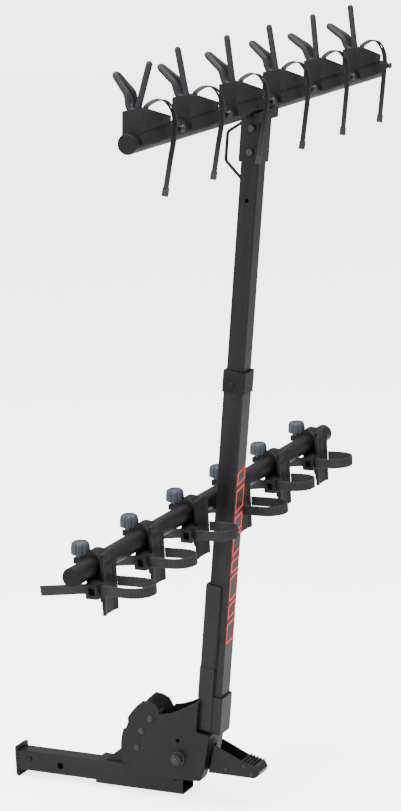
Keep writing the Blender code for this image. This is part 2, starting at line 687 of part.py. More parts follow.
def fork_strap(swing):
    """A rubber strap from the post's foot over the slope and down behind the saddle."""
    route = [(0.0045, 0.049, 0.0570), (0.0050, 0.050, 0.0710), (0.0135, 0.066, 0.0815)]
    route += [(0.0185, 0.086, 0.0825), (0.0235, 0.106, 0.0760), (0.0305, 0.119, 0.0600)]
    route += [(0.0375, 0.121, 0.0380), (0.0400, 0.118, 0.0050), (0.0400, 0.118 - swing * 0.55, -0.055)]
    route.append((0.0395, 0.118 - swing, -0.118))
    strip = band("fork_strap", smooth_path(route, 3), FORK_STRAP_WIDTH, FORK_STRAP_THICKNESS, (1, 0, 0))
    ends = [(0.0395, 0.118 - swing * 0.86, -0.102), (0.0395, 0.118 - swing * 1.04, -0.1205)]
    tab = band("tab", ends, FORK_STRAP_WIDTH + 0.004, FORK_STRAP_THICKNESS + 0.001, (1, 0, 0))
    return combine("fork_strap", strip, [("UNION", tab)])


def build_fork_station(index, mast, saddle_mesh, finishes):
    near = SADDLE_ROW_Y + index * PITCH
    name = str(index + 1)
    base = (UPPER_BAR[0], near, UPPER_BAR[1])
    place("saddle_" + name, saddle_mesh, finishes["plastic"], mast, base)
    axis = (base[0] + YOKE_AXIS[0], near + YOKE_MIDDLE_Y, base[2] + YOKE_AXIS[1])
    turn = (0.0, radians(HOOP_ANGLES[index]), 0.0)
    place("yoke_" + name, yoke(POST_ANGLES[index] - HOOP_ANGLES[index]), finishes["coating"], mast, axis, turn)
    strap = fork_strap(FORK_STRAP_SWINGS[index])
    place("fork_strap_" + name, strap, finishes["strap"], mast, base)


# Wheel cradles, knobs and ratchet straps. Their local origin is on the lower bar's axis.

def wheel_cradle():
    """A clamp round the bar with front ears, a curved trough behind it and a strap buckle."""
    half = CLAMP_HALF_WIDTH
    ring = rod_y("ring", (0.0, 0.0), CLAMP_RADIUS, -half, half, 20)
    knob_x, knob_y = KNOB_AXIS
    ear = [(knob_x - 0.013, -0.016), (knob_x - 0.013, 0.016), (-0.005, 0.022), (-0.005, -0.022)]
    middle = TROUGH_X + TROUGH_SHEET / 2
    edge = TROUGH_HALF_WIDTH
    rear = TROUGH_X + TROUGH_SHEET
    trough = [(rear, -edge * 0.5), (rear, edge * 0.5), (rear + TROUGH_CURL, edge - 0.001)]
    trough += [(TROUGH_X + TROUGH_CURL, edge), (TROUGH_X, edge * 0.6), (TROUGH_X, -edge * 0.6)]
    trough += [(TROUGH_X + TROUGH_CURL, -edge), (rear + TROUGH_CURL, -edge + 0.001)]
    trough = [(x, y + TROUGH_MIDDLE_Y) for x, y in trough]
    level = STRAP_LEVEL
    arm = box("arm", (0.004, -0.052, level - 0.017), (middle, -0.020, level + 0.017))
    buckle = [(0.012, -0.0735), (0.040, -0.0735), (0.044, -0.045), (0.008, -0.045)]
    reach = STRAP_NEAR_Y
    slot = (0.0, reach - 0.0045, level - STRAP_WIDTH / 2 - 0.0012)
    slot_end = (0.060, reach + 0.0045, level + STRAP_WIDTH / 2 + 0.0012)
    window = (0.020, -0.080, level - 0.008)
    window_end = (0.034, reach, level + 0.008)
    steps = [
        ("UNION", prism_y("ear", ear, knob_y - 0.012, knob_y + 0.012)),
        ("UNION", box("bridge", (0.016, -half, -0.020), (middle, half, 0.020))),
        ("UNION", prism_z("trough", trough, TROUGH_BOTTOM, TROUGH_TOP)),
        ("UNION", arm),
        ("UNION", prism_z("buckle", buckle, level - 0.0165, level + 0.0165)),
        ("DIFFERENCE", rod_y("bar", (0.0, 0.0), BAR_RADIUS + GAP, -0.1, 0.1, BAR_SIDES)),
        ("DIFFERENCE", box("split", (-0.07, -0.03, -0.0035), (-0.010, 0.03, 0.0035))),
        ("DIFFERENCE", box("slot", slot, slot_end)),
        ("DIFFERENCE", box("window", window, window_end)),
    ]
    under_knob = KNOB_BOTTOM - 0.0015
    for radius, low in ((0.0045, -0.030), (0.0125, 0.0155), (KNOB_RADIUS + 0.002, under_knob)):
        room = turned("room", [(radius, low), (radius, 0.060)], 16)
        room.transform(Matrix.Translation((knob_x, knob_y, 0.0)))
        steps.append(("DIFFERENCE", room))
    return combine("wheel_cradle", ring, steps)


def knob():
    """A fluted knob with its neck and bolt, standing on its own axis."""
    top = KNOB_BOTTOM + KNOB_HEIGHT
    sides = 24
    heights = ((0.0, 1.0), (0.018, 0.95), (0.025, 0.84), (KNOB_HEIGHT, 0.66))
    rings = []
    for height, share in heights:
        ring = []
        for i in range(sides):
            flute = 0.0014 if i % 4 == 0 and height < 0.026 else 0.0
            reach = KNOB_RADIUS * share - flute
            angle = 2 * pi * i / sides
            ring.append((reach * cos(angle), reach * sin(angle), KNOB_BOTTOM + height))
        rings.append(ring)
    head = rings_mesh("head", rings)
    stem_profile = [(0.0040, -0.024), (0.0040, 0.0163), (0.0105, 0.0163), (0.0115, KNOB_BOTTOM + 0.002)]
    stem = turned("stem", stem_profile, 12)
    dimple = turned("dimple", [(0.0085, top - 0.0015), (0.0095, top + 0.002)], 12)
    return combine("knob", head, [("UNION", stem), ("DIFFERENCE", dimple)])


def wheel_strap(reach):
    """A ladder strap: its tail, the run through the buckle and the loop back to the trough's far edge."""
    level = STRAP_LEVEL
    near, far = STRAP_NEAR_Y, STRAP_FAR_Y
    middle = (near + far) / 2
    half = (far - near) / 2
    route = [(STRAP_TAIL, near - 0.001, level - 0.014), (-0.06, near, level - 0.008)]
    bend = reach - half * 1.05
    straight = min(0.075, bend - 0.006)
    route += [(-0.010, near, level - 0.001), (0.012, near, level), (straight, near - 0.0005, level)]
    for x, y in arc((0.0, 0.0), 1.0, -90, 90, 8):
        route.append((bend + half * 1.05 * x, middle + half * y, level))
    route += [(straight, far, level), (0.0410, far - 0.003, level)]
    return band("wheel_strap", route, STRAP_WIDTH, STRAP_THICKNESS, (0, 0, 1))


def build_wheel_station(index, cradle_mesh, knob_mesh, finishes):
    middle = CRADLE_ROW_Y + index * PITCH
    name = str(index + 1)
    base = (LOWER_BAR[0], middle, LOWER_BAR[1])
    place("wheel_cradle_" + name, cradle_mesh, finishes["plastic"], None, base)
    axis = (base[0] + KNOB_AXIS[0], base[1] + KNOB_AXIS[1], base[2])
    place("knob_" + name, knob_mesh, finishes["knob"], None, axis)
    place("wheel_strap_" + name, wheel_strap(STRAP_REACHES[index]), finishes["strap"], None, base)


def build_base(finishes):
    steel = finishes["steel"]
    bolt = finishes["bolt"]
    place("hitch_tube", hitch_tube(), steel)
    place("hitch_wedge", hitch_wedge(), finishes["plastic"])
    place("base_sleeve", base_sleeve(), steel)
    plate = index_plate()
    place("index_plate_near", plate, steel, location=(0.0, -INDEX_INNER_Y - PLATE, 0.0))
    place("index_plate_far", plate, steel, location=(0.0, INDEX_INNER_Y, 0.0))
    pin = index_pin()
    for number, angle in enumerate(INDEX_PIN_ANGLES, 1):
        x, z = around_pivot(INDEX_PIN_REACH, angle)
        place(f"index_pin_{number}", pin, bolt, location=(x, 0.0, z))
    place("pivot_bolt", pivot_bolt(), bolt)


def build_bar(name, mesh, centre, ends, parent, finishes):
    """A bar with its two caps, at an (x, z) point of its parent's frame."""
    x, z = centre
    place(name, mesh, finishes["steel"], parent, (x, 0.0, z))
    place(name + "_cap_near", bar_cap(-1), finishes["plastic"], parent, (x, ends[0], z))
    place(name + "_cap_far", bar_cap(1), finishes["plastic"], parent, (x, ends[1], z))


def build_lower_mast(mast, finishes):
    steel = finishes["steel"]
    place("swivel_bracket", swivel_bracket(), steel)
    place("pedal_lever", pedal_lever(), steel)
    place("mast_outer", mast_outer(), steel, mast)
    place("clamp_collar", clamp_collar(), finishes["plastic"], mast)
    build_bar("lower_bar", lower_bar(), LOWER_BAR, LOWER_BAR_ENDS, None, finishes)


def build_upper_mast(mast, finishes):
    steel = finishes["steel"]
    place("mast_inner", mast_inner(), steel, mast)
    place("top_bracket", top_bracket(), steel, mast)
    bolt = bracket_bolt()
    for number, (x, z) in enumerate(BRACKET_BOLTS, 1):
        place(f"bracket_bolt_{number}", bolt, finishes["bolt"], mast, (x, 0.0, z))
    place("grab_handle", grab_handle(), steel, mast)
    bar = round_tube("upper_bar", BAR_RADIUS, BAR_WALL, UPPER_BAR_ENDS)
    build_bar("upper_bar", bar, UPPER_BAR, UPPER_BAR_ENDS, mast, finishes)


def main():
    clear_scene()
    finishes = {
        "steel": material("black_powder_coat", (0.030, 0.027, 0.030), 0.42, 0.3),
        "bolt": material("dark_bolt", (0.045, 0.043, 0.048), 0.35, 0.8),
        "plastic": material("black_plastic", (0.026, 0.026, 0.028), 0.55, 0.0),
        "coating": material("grey_rubber_coating", (0.085, 0.080, 0.088), 0.62, 0.0),
        "strap": material("dark_rubber", (0.040, 0.039, 0.043), 0.70, 0.0),
        "knob": material("grey_knob", (0.135, 0.155, 0.190), 0.50, 0.0),
    }
    mast = empty("mast_frame", (MAST_X, 0.0, 0.0), turn=MAST_LEAN)
    build_base(finishes)
    build_lower_mast(mast, finishes)
    build_upper_mast(mast, finishes)
    saddle_mesh = saddle()
    wheel_meshes = (wheel_cradle(), knob())
    for index in range(STATIONS):
        build_fork_station(index, mast, saddle_mesh, finishes)
        build_wheel_station(index, *wheel_meshes, finishes)


main()
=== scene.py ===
"""Looks of the bike rack: camera, light, procedural finishes and the finely modelled visible pieces."""

from math import cos, pi, radians, sin

import bmesh
import bpy
from mathutils import Matrix, Vector


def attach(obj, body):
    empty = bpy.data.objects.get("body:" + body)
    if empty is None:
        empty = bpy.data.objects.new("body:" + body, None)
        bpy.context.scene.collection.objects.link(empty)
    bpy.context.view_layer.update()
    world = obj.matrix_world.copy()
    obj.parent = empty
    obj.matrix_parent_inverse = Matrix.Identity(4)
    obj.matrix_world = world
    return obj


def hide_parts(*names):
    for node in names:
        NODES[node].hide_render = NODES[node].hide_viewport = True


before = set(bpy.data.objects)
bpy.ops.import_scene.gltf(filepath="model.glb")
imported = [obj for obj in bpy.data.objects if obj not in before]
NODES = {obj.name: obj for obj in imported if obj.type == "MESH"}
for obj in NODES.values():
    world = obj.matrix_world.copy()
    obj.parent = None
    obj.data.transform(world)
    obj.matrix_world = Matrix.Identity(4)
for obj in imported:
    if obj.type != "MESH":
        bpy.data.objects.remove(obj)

# Layout shared with the CAD, in metres. The mast's frame leans rearwards from its foot.
MAST_FOOT = (0.400, 0.0, 0.0)
MAST_LEAN = radians(7)
MAST = Matrix.Translation(MAST_FOOT) @ Matrix.Rotation(MAST_LEAN, 4, "Y")
MAST_HALF = 0.0254
STATIONS = range(6)
PITCH = 0.228
UPPER_BAR = Vector((-0.004, 0.0, 1.652))
LOWER_BAR = Vector((0.433, 0.0, 0.711))
SADDLE_ROW_Y = -0.604
CRADLE_ROW_Y = -0.560

# Yokes: the pivot's place on its saddle, then sizes in the pivot's frame.
YOKE_AXIS = Vector((-0.002, 0.024, 0.063))
YOKE_ROD = 0.0070
HOOP_HALF_SPREAD = 0.0145
HOOP_FORWARD = -0.012
HOOP_RISE = 0.037
HOOP_REACH = 0.042
HOOP_CROWN = 0.008
HOOP_BEND = radians(35)
POST_LENGTH = 0.110
HOOP_ANGLES = (-10.0, -21.5, -21.0, -21.0, -28.0, -28.0)
POST_ANGLES = (11.8, -16.0, -12.5, -14.5, -10.5, -12.0)

# Fork straps and studs, from the upper bar's axis at their saddle.
FORK_STRAP_WIDTH = 0.0115
FORK_STRAP_THICKNESS = 0.0030
FORK_STRAP_HOLE = 0.0036
FORK_STRAP_HANG_Y = 0.118
STRAP_SWINGS = (0.026, 0.023, 0.021, 0.012, 0.003, 0.002)
STUD_FACE_X = 0.0335
STUD = (0.169, 0.013)

# Cradles, knobs and wheel straps, from the lower bar's axis at their cradle.
KNOB_AXIS = Vector((-0.030, -0.010, 0.0))
KNOB_BOTTOM = 0.024
KNOB_RADIUS = 0.0215
KNOB_FLUTES = 8
STRAP_LEVEL = -0.040
STRAP_WIDTH = 0.0230
STRAP_THICKNESS = 0.0032
STRAP_NEAR_Y = -0.057
STRAP_FAR_Y = 0.024
STRAP_REACHES = (0.149, 0.134, 0.126, 0.148, 0.116, 0.118)

# The rest: floor, camera and light.
FLOOR_LEVEL = -0.0415
FLOOR_HALF = 14.0
CAMERA_PLACE = (3.253, -5.579, 2.392)
CAMERA_TURN = (radians(26.9), radians(13.1), radians(-2.7))
CAMERA_LENS = 122.1
LIT_STRENGTH = 0.75
SEEN_STRENGTH = 4.2
FLOOR_GLOW = 3.2


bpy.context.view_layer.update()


# Places.

def saddle_place(k):
    """The frame of saddle k: on the upper bar's axis at the saddle's near end, leaning with the mast."""
    return MAST @ Matrix.Translation(UPPER_BAR + Vector((0, SADDLE_ROW_Y + k * PITCH, 0)))


def cradle_place(k):
    """The frame of cradle k: upright, on the lower bar's axis at the middle of the cradle's clamp."""
    return Matrix.Translation(LOWER_BAR + Vector((0, CRADLE_ROW_Y + k * PITCH, 0)))


# Camera, light and floor.

def add_camera():
    data = bpy.data.cameras.new("camera")
    data.sensor_width = 36.0
    data.lens = CAMERA_LENS
    data.clip_end = 100.0
    camera = bpy.data.objects.new("camera", data)
    bpy.context.collection.objects.link(camera)
    azimuth, elevation, roll = CAMERA_TURN
    turn = Matrix.Rotation(azimuth, 4, "Z") @ Matrix.Rotation(pi / 2 - elevation, 4, "X")
    turn = turn @ Matrix.Rotation(roll, 4, "Z")
    camera.matrix_world = Matrix.Translation(CAMERA_PLACE) @ turn
    bpy.context.scene.camera = camera


def add_light(name, place, size, power, target=(0.35, 0.0, 0.9)):
    data = bpy.data.lights.new(name, "AREA")
    data.shape = "RECTANGLE"
    data.size, data.size_y = size
    data.energy = power
    light = bpy.data.objects.new(name, data)
    bpy.context.collection.objects.link(light)
    aim = Vector(target) - Vector(place)
    light.matrix_world = Matrix.Translation(place) @ aim.to_track_quat("-Z", "Y").to_matrix().to_4x4()


def strength_when_seen(tree, lit, seen, target):
    """Give a strength one value where the camera looks straight at it and another for its light."""
    path = tree.nodes.new("ShaderNodeLightPath")
    strength = tree.nodes.new("ShaderNodeMapRange")
    strength.inputs["To Min"].default_value = lit
    strength.inputs["To Max"].default_value = seen
    tree.links.new(path.outputs["Is Camera Ray"], strength.inputs["Value"])
    tree.links.new(strength.outputs["Result"], target)


def add_world():
    world = bpy.data.worlds.new("studio")
    world.use_nodes = True
    background = world.node_tree.nodes["Background"]
    background.inputs["Color"].default_value = (1.0, 1.0, 1.0, 1.0)
    strength_when_seen(world.node_tree, LIT_STRENGTH, SEEN_STRENGTH, background.inputs["Strength"])
    bpy.context.scene.world = world


def add_floor():
    mesh = bpy.data.meshes.new("floor")
    sides = ((-1, -1), (1, -1), (1, 1), (-1, 1))
    points = [(FLOOR_HALF * x, FLOOR_HALF * y, FLOOR_LEVEL) for x, y in sides]
    mesh.from_pydata(points, [], [(0, 1, 2, 3)])
    finish, tree, shader = shader_of("floor", (0.93, 0.93, 0.93), 0.85, Specular_IOR_Level=0.1)
    shader.inputs["Emission Color"].default_value = (1.0, 1.0, 1.0, 1.0)
    strength_when_seen(tree, 0.0, FLOOR_GLOW, shader.inputs["Emission Strength"])
    floor = new_object("floor", mesh, finish)


def add_surroundings():
    add_world()
    add_light("key", (-1.2, -4.2, 3.4), (2.4, 2.4), 300)
    add_light("side", (3.6, -2.0, 2.2), (1.2, 2.6), 60)
    add_light("top", (0.6, -0.3, 4.4), (3.0, 3.0), 420)
    add_floor()


# Materials.

def shader_of(name, colour, roughness, **sockets):
    made = bpy.data.materials.new(name)
    made.use_nodes = True
    tree = made.node_tree
    shader = tree.nodes["Principled BSDF"]
    shader.inputs["Base Color"].default_value = (*colour, 1.0)
    shader.inputs["Roughness"].default_value = roughness
    shader.inputs["Metallic"].default_value = 0.0
    for socket, value in sockets.items():
        shader.inputs[socket.replace("_", " ")].default_value = value
    return made, tree, shader


def noise_node(tree, scale, detail=3.0):
    place = tree.nodes.new("ShaderNodeTexCoord")
    texture = tree.nodes.new("ShaderNodeTexNoise")
    texture.inputs["Scale"].default_value = scale
    texture.inputs["Detail"].default_value = detail
    tree.links.new(place.outputs["Object"], texture.inputs["Vector"])
    return texture


def vary(tree, source, low, high, target):
    """Send a noise to a socket, spread between two values or two colours."""
    if isinstance(low, tuple):
        mix = tree.nodes.new("ShaderNodeMix")
        mix.data_type = "RGBA"
        mix.inputs["A"].default_value = (*low, 1.0)
        mix.inputs["B"].default_value = (*high, 1.0)
        tree.links.new(source.outputs["Fac"], mix.inputs["Factor"])
        tree.links.new(mix.outputs["Result"], target)
        return
    ramp = tree.nodes.new("ShaderNodeMapRange")
    ramp.inputs["From Min"].default_value = 0.3
    ramp.inputs["From Max"].default_value = 0.7
    ramp.inputs["To Min"].default_value = low
    ramp.inputs["To Max"].default_value = high
    tree.links.new(source.outputs["Fac"], ramp.inputs["Value"])
    tree.links.new(ramp.outputs["Result"], target)


def bump(tree, source, shader, strength, distance):
    node = tree.nodes.new("ShaderNodeBump")
    node.inputs["Strength"].default_value = strength
    node.inputs["Distance"].default_value = distance
    tree.links.new(source.outputs["Fac"], node.inputs["Height"])
    tree.links.new(node.outputs["Normal"], shader.inputs["Normal"])


def worn_edges(tree, shader, worn, amount):
    """Lighten the colour where edges stick out, broken up by a noise."""
    geometry = tree.nodes.new("ShaderNodeNewGeometry")
    edge = tree.nodes.new("ShaderNodeMapRange")
    edge.inputs["From Min"].default_value = 0.52
    edge.inputs["From Max"].default_value = 0.60
    edge.inputs["To Max"].default_value = amount
    tree.links.new(geometry.outputs["Pointiness"], edge.inputs["Value"])
    broken = tree.nodes.new("ShaderNodeMath")
    broken.operation = "MULTIPLY"
    tree.links.new(edge.outputs["Result"], broken.inputs[0])
    tree.links.new(noise_node(tree, 60.0).outputs["Fac"], broken.inputs[1])
    mix = tree.nodes.new("ShaderNodeMix")
    mix.data_type = "RGBA"
    before = shader.inputs["Base Color"].links[0].from_socket
    tree.links.new(broken.outputs["Value"], mix.inputs["Factor"])
    tree.links.new(before, mix.inputs["A"])
    mix.inputs["B"].default_value = (*worn, 1.0)
    tree.links.new(mix.outputs["Result"], shader.inputs["Base Color"])


def grained(name, colour, roughness, grain, strength, wear=0.5, **sockets):
    """A finish with a fine grain, worn edges, and slow changes of colour and roughness over the piece."""
    made, tree, shader = shader_of(name, colour, roughness, **sockets)
    slow = noise_node(tree, 9.0)
    fine = noise_node(tree, grain, 2.0)
    dark = tuple(0.88 * c for c in colour)
    light = tuple(1.12 * c for c in colour)
    vary(tree, slow, dark, light, shader.inputs["Base Color"])
    worn_edges(tree, shader, tuple(min(1.0, 3.5 * c + 0.01) for c in colour), wear)
    vary(tree, slow, roughness - 0.05, roughness + 0.06, shader.inputs["Roughness"])
    bump(tree, fine, shader, strength, 0.0002)
    return made


# Mesh code.

def new_object(name, mesh, finish):
    made = bpy.data.objects.new(name, mesh)
    bpy.context.collection.objects.link(made)
    mesh.materials.append(finish)
    return made


def add_piece(name, mesh, finish, body, replaced=None):
    made = new_object(name, mesh, finish)
    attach(made, body)
    if replaced:
        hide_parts(replaced)
    return made


def close_mesh(shape, name, angle=35):
    bmesh.ops.recalc_face_normals(shape, faces=shape.faces)
    mesh = bpy.data.meshes.new(name)
    shape.to_mesh(mesh)
    shape.free()
    mesh.shade_smooth()
    mesh.set_sharp_from_angle(angle=radians(angle))
    return mesh


def add_rings(shape, rings):
    """Join rings of equal count into a closed skin, capped at both ends."""
    loops = [[shape.verts.new(point) for point in ring] for ring in rings]
    shape.faces.new(loops[0])
    shape.faces.new(loops[-1])
    for first, second in zip(loops, loops[1:]):
        count = len(first)
        for i in range(count):
            j = (i + 1) % count
            shape.faces.new((first[i], first[j], second[j], second[i]))


def circle(radius, sides, z):
    """One level ring about the Z axis."""
    turns = [2 * pi * i / sides for i in range(sides)]
    return [(radius * cos(turn), radius * sin(turn), z) for turn in turns]


def smooth_path(points, steps):
    path = [Vector(point) for point in points]
    path = [2 * path[0] - path[1]] + path + [2 * path[-1] - path[-2]]
    result = []
    for a, b, c, d in zip(path, path[1:], path[2:], path[3:]):
        for i in range(steps):
            t = i / steps
            near = 2 * b + (c - a) * t + (2 * a - 5 * b + 4 * c - d) * t**2
            result.append((near + (3 * b - a - 3 * c + d) * t**3) / 2)
    result.append(path[-2])
    return result


def heading_at(path, i):
    """The direction of the path at point i."""
    return (path[min(i + 1, len(path) - 1)] - path[max(i - 1, 0)]).normalized()


def tube_rings(path, radii, sides):
    heading = (path[1] - path[0]).normalized()
    side = heading.orthogonal().normalized()
    rings = []
    for i, point in enumerate(path):
        new_heading = heading_at(path, i)
        side = heading.rotation_difference(new_heading) @ side
        heading = new_heading
        other = heading.cross(side)
        turns = [2 * pi * k / sides for k in range(sides)]
        rings.append([point + (side * cos(turn) + other * sin(turn)) * radii[i] for turn in turns])
    return rings


def domed(path, radius):
    """The path and radii of a rod whose last end is a dome."""
    last, ahead = path[-1], (path[-1] - path[-2]).normalized()
    path = list(path[:-1]) + [last - ahead * radius]
    radii = [radius] * len(path)
    for angle in (12, 25, 38, 50, 62, 74, 84):
        path.append(last - ahead * radius * (1 - sin(radians(angle))))
        radii.append(radius * cos(radians(angle)))
    return path, radii


def band_rings(path, width, thickness, wide_axis, corner=0.3):
    """Rings of a flat strap with rounded edges."""
    wide = Vector(wide_axis).normalized()
    outline = []
    for sx, sy in ((1, -1), (1, 1), (-1, 1), (-1, -1)):
        first = (sx * (width / 2 - thickness * corner), sy * thickness / 2)
        second = (sx * width / 2, sy * thickness * (0.5 - corner))
        outline += [first, second] if sx * sy < 0 else [second, first]
    rings = []
    for i, point in enumerate(path):
        heading = heading_at(path, i)
        normal = heading.cross(wide).normalized()
        across = normal.cross(heading).normalized()
        rings.append([point + across * a + normal * b for a, b in outline])
    return rings


# Pieces.

def hoop_path():
    """The hoop's centre line: up one leg, over the narrow crown and down the other leg."""
    lean = Vector((-sin(HOOP_BEND), 0.0, cos(HOOP_BEND)))
    start = Vector((HOOP_FORWARD, HOOP_HALF_SPREAD, HOOP_RISE))
    tip_y = YOKE_ROD * 1.02
    tip = Vector((HOOP_FORWARD, tip_y, HOOP_RISE)) + lean * HOOP_REACH
    foot = ((0.0, 0.0), (-0.006, 0.004), (-0.0105, 0.010), (HOOP_FORWARD, 0.018))
    foot += ((HOOP_FORWARD, HOOP_RISE - 0.006),)
    leg = [Vector((x, HOOP_HALF_SPREAD, z)) for x, z in foot]
    leg += [start.lerp(tip, t) for t in (0.08, 0.5, 0.9)]
    crown = []
    for angle in (30, 60, 90, 120, 150):
        offset = Vector((HOOP_FORWARD, tip_y * cos(radians(angle)), HOOP_RISE))
        crown.append(offset + lean * (HOOP_REACH + HOOP_CROWN * sin(radians(angle))))
    mirrored = [Vector((p.x, -p.y, p.z)) for p in reversed(leg)]
    return smooth_path(leg + crown + mirrored, 5)


def yoke_mesh(place, post_turn):
    """The hoop, the domed post and the pivot rod between them."""
    shape = bmesh.new()
    path = hoop_path()
    add_rings(shape, tube_rings(path, [YOKE_ROD] * len(path), 18))
    turned = Matrix.Rotation(radians(post_turn), 3, "Y")
    line = [turned @ Vector((0, 0, z)) for z in (0.0, 0.03, 0.07, POST_LENGTH)]
    post, radii = domed(line, YOKE_ROD)
    add_rings(shape, tube_rings(post, radii, 18))
    reach = HOOP_HALF_SPREAD + YOKE_ROD * 0.9
    axle = [Vector((0, y, 0)) for y in (-reach, 0, reach)]
    add_rings(shape, tube_rings(axle, [YOKE_ROD * 0.95] * 3, 18))
    shape.transform(place)
    return close_mesh(shape, "yoke")


def build_yokes(finish):
    for k in STATIONS:
        turn = Matrix.Rotation(radians(HOOP_ANGLES[k]), 4, "Y")
        place = saddle_place(k) @ Matrix.Translation(YOKE_AXIS) @ turn
        name = f"yoke_{k + 1}"
        mesh = yoke_mesh(place, POST_ANGLES[k] - HOOP_ANGLES[k])
        add_piece(name + "_coated", mesh, finish, f"yoke_arm_{k + 1}", name)


def ladder(shape, path, width, hole, thickness, wide_axis, open_steps):
    """A flat strap whose listed steps leave a hole between its two rails."""
    wide = Vector(wide_axis).normalized()
    rows = []
    for i, point in enumerate(path):
        normal = heading_at(path, i).cross(wide).normalized() * (thickness / 2)
        columns = [point + wide * share for share in (-width / 2, -hole / 2, hole / 2, width / 2)]
        rows.append([[shape.verts.new(c + normal * side) for c in columns] for side in (-1, 1)])
    for i, (first, second) in enumerate(zip(rows, rows[1:])):
        for c in range(3):
            if c == 1 and i in open_steps:
                continue
            for side in (0, 1):
                shape.faces.new((first[side][c], first[side][c + 1], second[side][c + 1], second[side][c]))
        walls = (0, 1, 2, 3) if i in open_steps else (0, 3)
        for c in walls:
            shape.faces.new((first[0][c], second[0][c], second[1][c], first[1][c]))
        if i in open_steps and i - 1 not in open_steps:
            shape.faces.new((first[0][1], first[0][2], first[1][2], first[1][1]))
        if i in open_steps and i + 1 not in open_steps:
            shape.faces.new((second[0][1], second[0][2], second[1][2], second[1][1]))
    for row in (rows[0], rows[-1]):
        for c in range(3):
            shape.faces.new((row[0][c], row[0][c + 1], row[1][c + 1], row[1][c]))


def fork_strap_mesh(swing, place):
    """The rubber strap from the post's foot over the slope and down behind the saddle, with its end tab."""
    hang = FORK_STRAP_HANG_Y
    route = [(0.0045, 0.049, 0.0570), (0.0050, 0.050, 0.0710), (0.0135, 0.066, 0.0815)]
    route += [(0.0185, 0.086, 0.0825), (0.0235, 0.106, 0.0760), (0.0305, 0.119, 0.0600)]
    route += [(0.0375, 0.121, 0.0380), (0.0400, hang, 0.0050), (0.0400, hang - swing * 0.55, -0.055)]
    route.append((0.0395, hang - swing, -0.118))
    path = smooth_path(route, 10)
    shape = bmesh.new()
    holes = {first + step for first in (24, 34, 44) for step in range(5)}
    ladder(shape, path, FORK_STRAP_WIDTH, FORK_STRAP_HOLE, FORK_STRAP_THICKNESS, (1, 0, 0), holes)
    ends = ((0.86, -0.102), (0.95, -0.111), (1.04, -0.1205))
    tail = [Vector((0.0395, hang - swing * share, z)) for share, z in ends]
    add_rings(shape, band_rings(tail, FORK_STRAP_WIDTH + 0.004, FORK_STRAP_THICKNESS + 0.001, (1, 0, 0)))
    shape.transform(place)
    return close_mesh(shape, "fork_strap")


def build_fork_straps(finish):
    for k in STATIONS:
        name = f"fork_strap_{k + 1}"
        mesh = fork_strap_mesh(STRAP_SWINGS[k], saddle_place(k))
        add_piece(name + "_ladder", mesh, finish, "upper_mast", name)


def fluted_ring(share, z, sides=96, depth=0.0022):
    """One ring of the knob's head; its flutes stop short of the bottom and the top."""
    ring = []
    for i in range(sides):
        angle = 2 * pi * i / sides
        wave = max(0.0, cos(KNOB_FLUTES * angle)) ** 6
        radius = KNOB_RADIUS * share - (depth * wave if 0.0008 < z < 0.0266 else 0.0)
        ring.append((radius * cos(angle), radius * sin(angle), KNOB_BOTTOM + z))
    return ring


def knob_mesh(place):
    """The fluted head with its dished top, its neck and the bolt below."""
    heights = ((0.0, 0.95), (0.0010, 0.985), (0.0030, 1.0), (0.0120, 0.985), (0.0185, 0.955))
    heights += ((0.0228, 0.91), (0.0258, 0.83), (0.0273, 0.74), (0.0280, 0.62), (0.0280, 0.50))
    heights += ((0.0262, 0.46), (0.0260, 0.05))
    shape = bmesh.new()
    add_rings(shape, [fluted_ring(share, z) for z, share in heights])
    stem = ((0.0040, -0.024), (0.0040, 0.0163), (0.0105, 0.0163), (0.0112, 0.0180))
    stem += ((0.0115, KNOB_BOTTOM + 0.001),)
    add_rings(shape, [circle(radius, 32, z) for radius, z in stem])
    shape.transform(place)
    return close_mesh(shape, "knob", 50)


def build_knobs(finish):
    for k in STATIONS:
        name = f"knob_{k + 1}"
        mesh = knob_mesh(cradle_place(k) @ Matrix.Translation(KNOB_AXIS))
        add_piece(name + "_fluted", mesh, finish, f"clamp_knob_{k + 1}", name)


def wheel_strap_path(reach):
    """The tail, the run through the buckle and the loop back to the trough."""
    level, near, far = STRAP_LEVEL, STRAP_NEAR_Y, STRAP_FAR_Y
    middle, half = (near + far) / 2, (far - near) / 2
    depth = half * 1.05
    bend = reach - depth
    straight = min(0.075, bend - 0.006)
    route = [(-0.108, near - 0.001, level - 0.014), (-0.06, near, level - 0.008)]
    route += [(-0.010, near, level - 0.001), (0.012, near, level), (straight, near - 0.0005, level)]
    for step in range(9):
        angle = -pi / 2 + pi * step / 8
        route.append((bend + depth * cos(angle), middle + half * sin(angle), level))
    route += [(straight, far, level), (0.0410, far - 0.003, level)]
    return smooth_path(route, 16)


def wheel_strap_mesh(place, reach, rib_pitch=0.0062, rib_height=0.0009, first_rib=0.135):
    """The ladder strap, with ribs across the outer face of its loop."""
    path = wheel_strap_path(reach)
    rings = band_rings(path, STRAP_WIDTH, STRAP_THICKNESS, (0, 0, 1))
    length = 0.0
    ribbed = []
    for i, ring in enumerate(rings):
        if i:
            length += (path[i] - path[i - 1]).length
        outward = heading_at(path, i).cross(Vector((0, 0, 1))).normalized()
        high = rib_height if (length / rib_pitch) % 1.0 < 0.5 and length > first_rib else 0.0
        ribbed.append([p + outward * (high if (p - path[i]).dot(outward) > 0 else 0.0) for p in ring])
    shape = bmesh.new()
    add_rings(shape, ribbed)
    shape.transform(place)
    return close_mesh(shape, "wheel_strap", 30)


def build_wheel_straps(finish):
    for k in STATIONS:
        name = f"wheel_strap_{k + 1}"
        mesh = wheel_strap_mesh(cradle_place(k), STRAP_REACHES[k])
        add_piece(name + "_ribbed", mesh, finish, f"cradle_{k + 1}", name)


# Small built-up details.

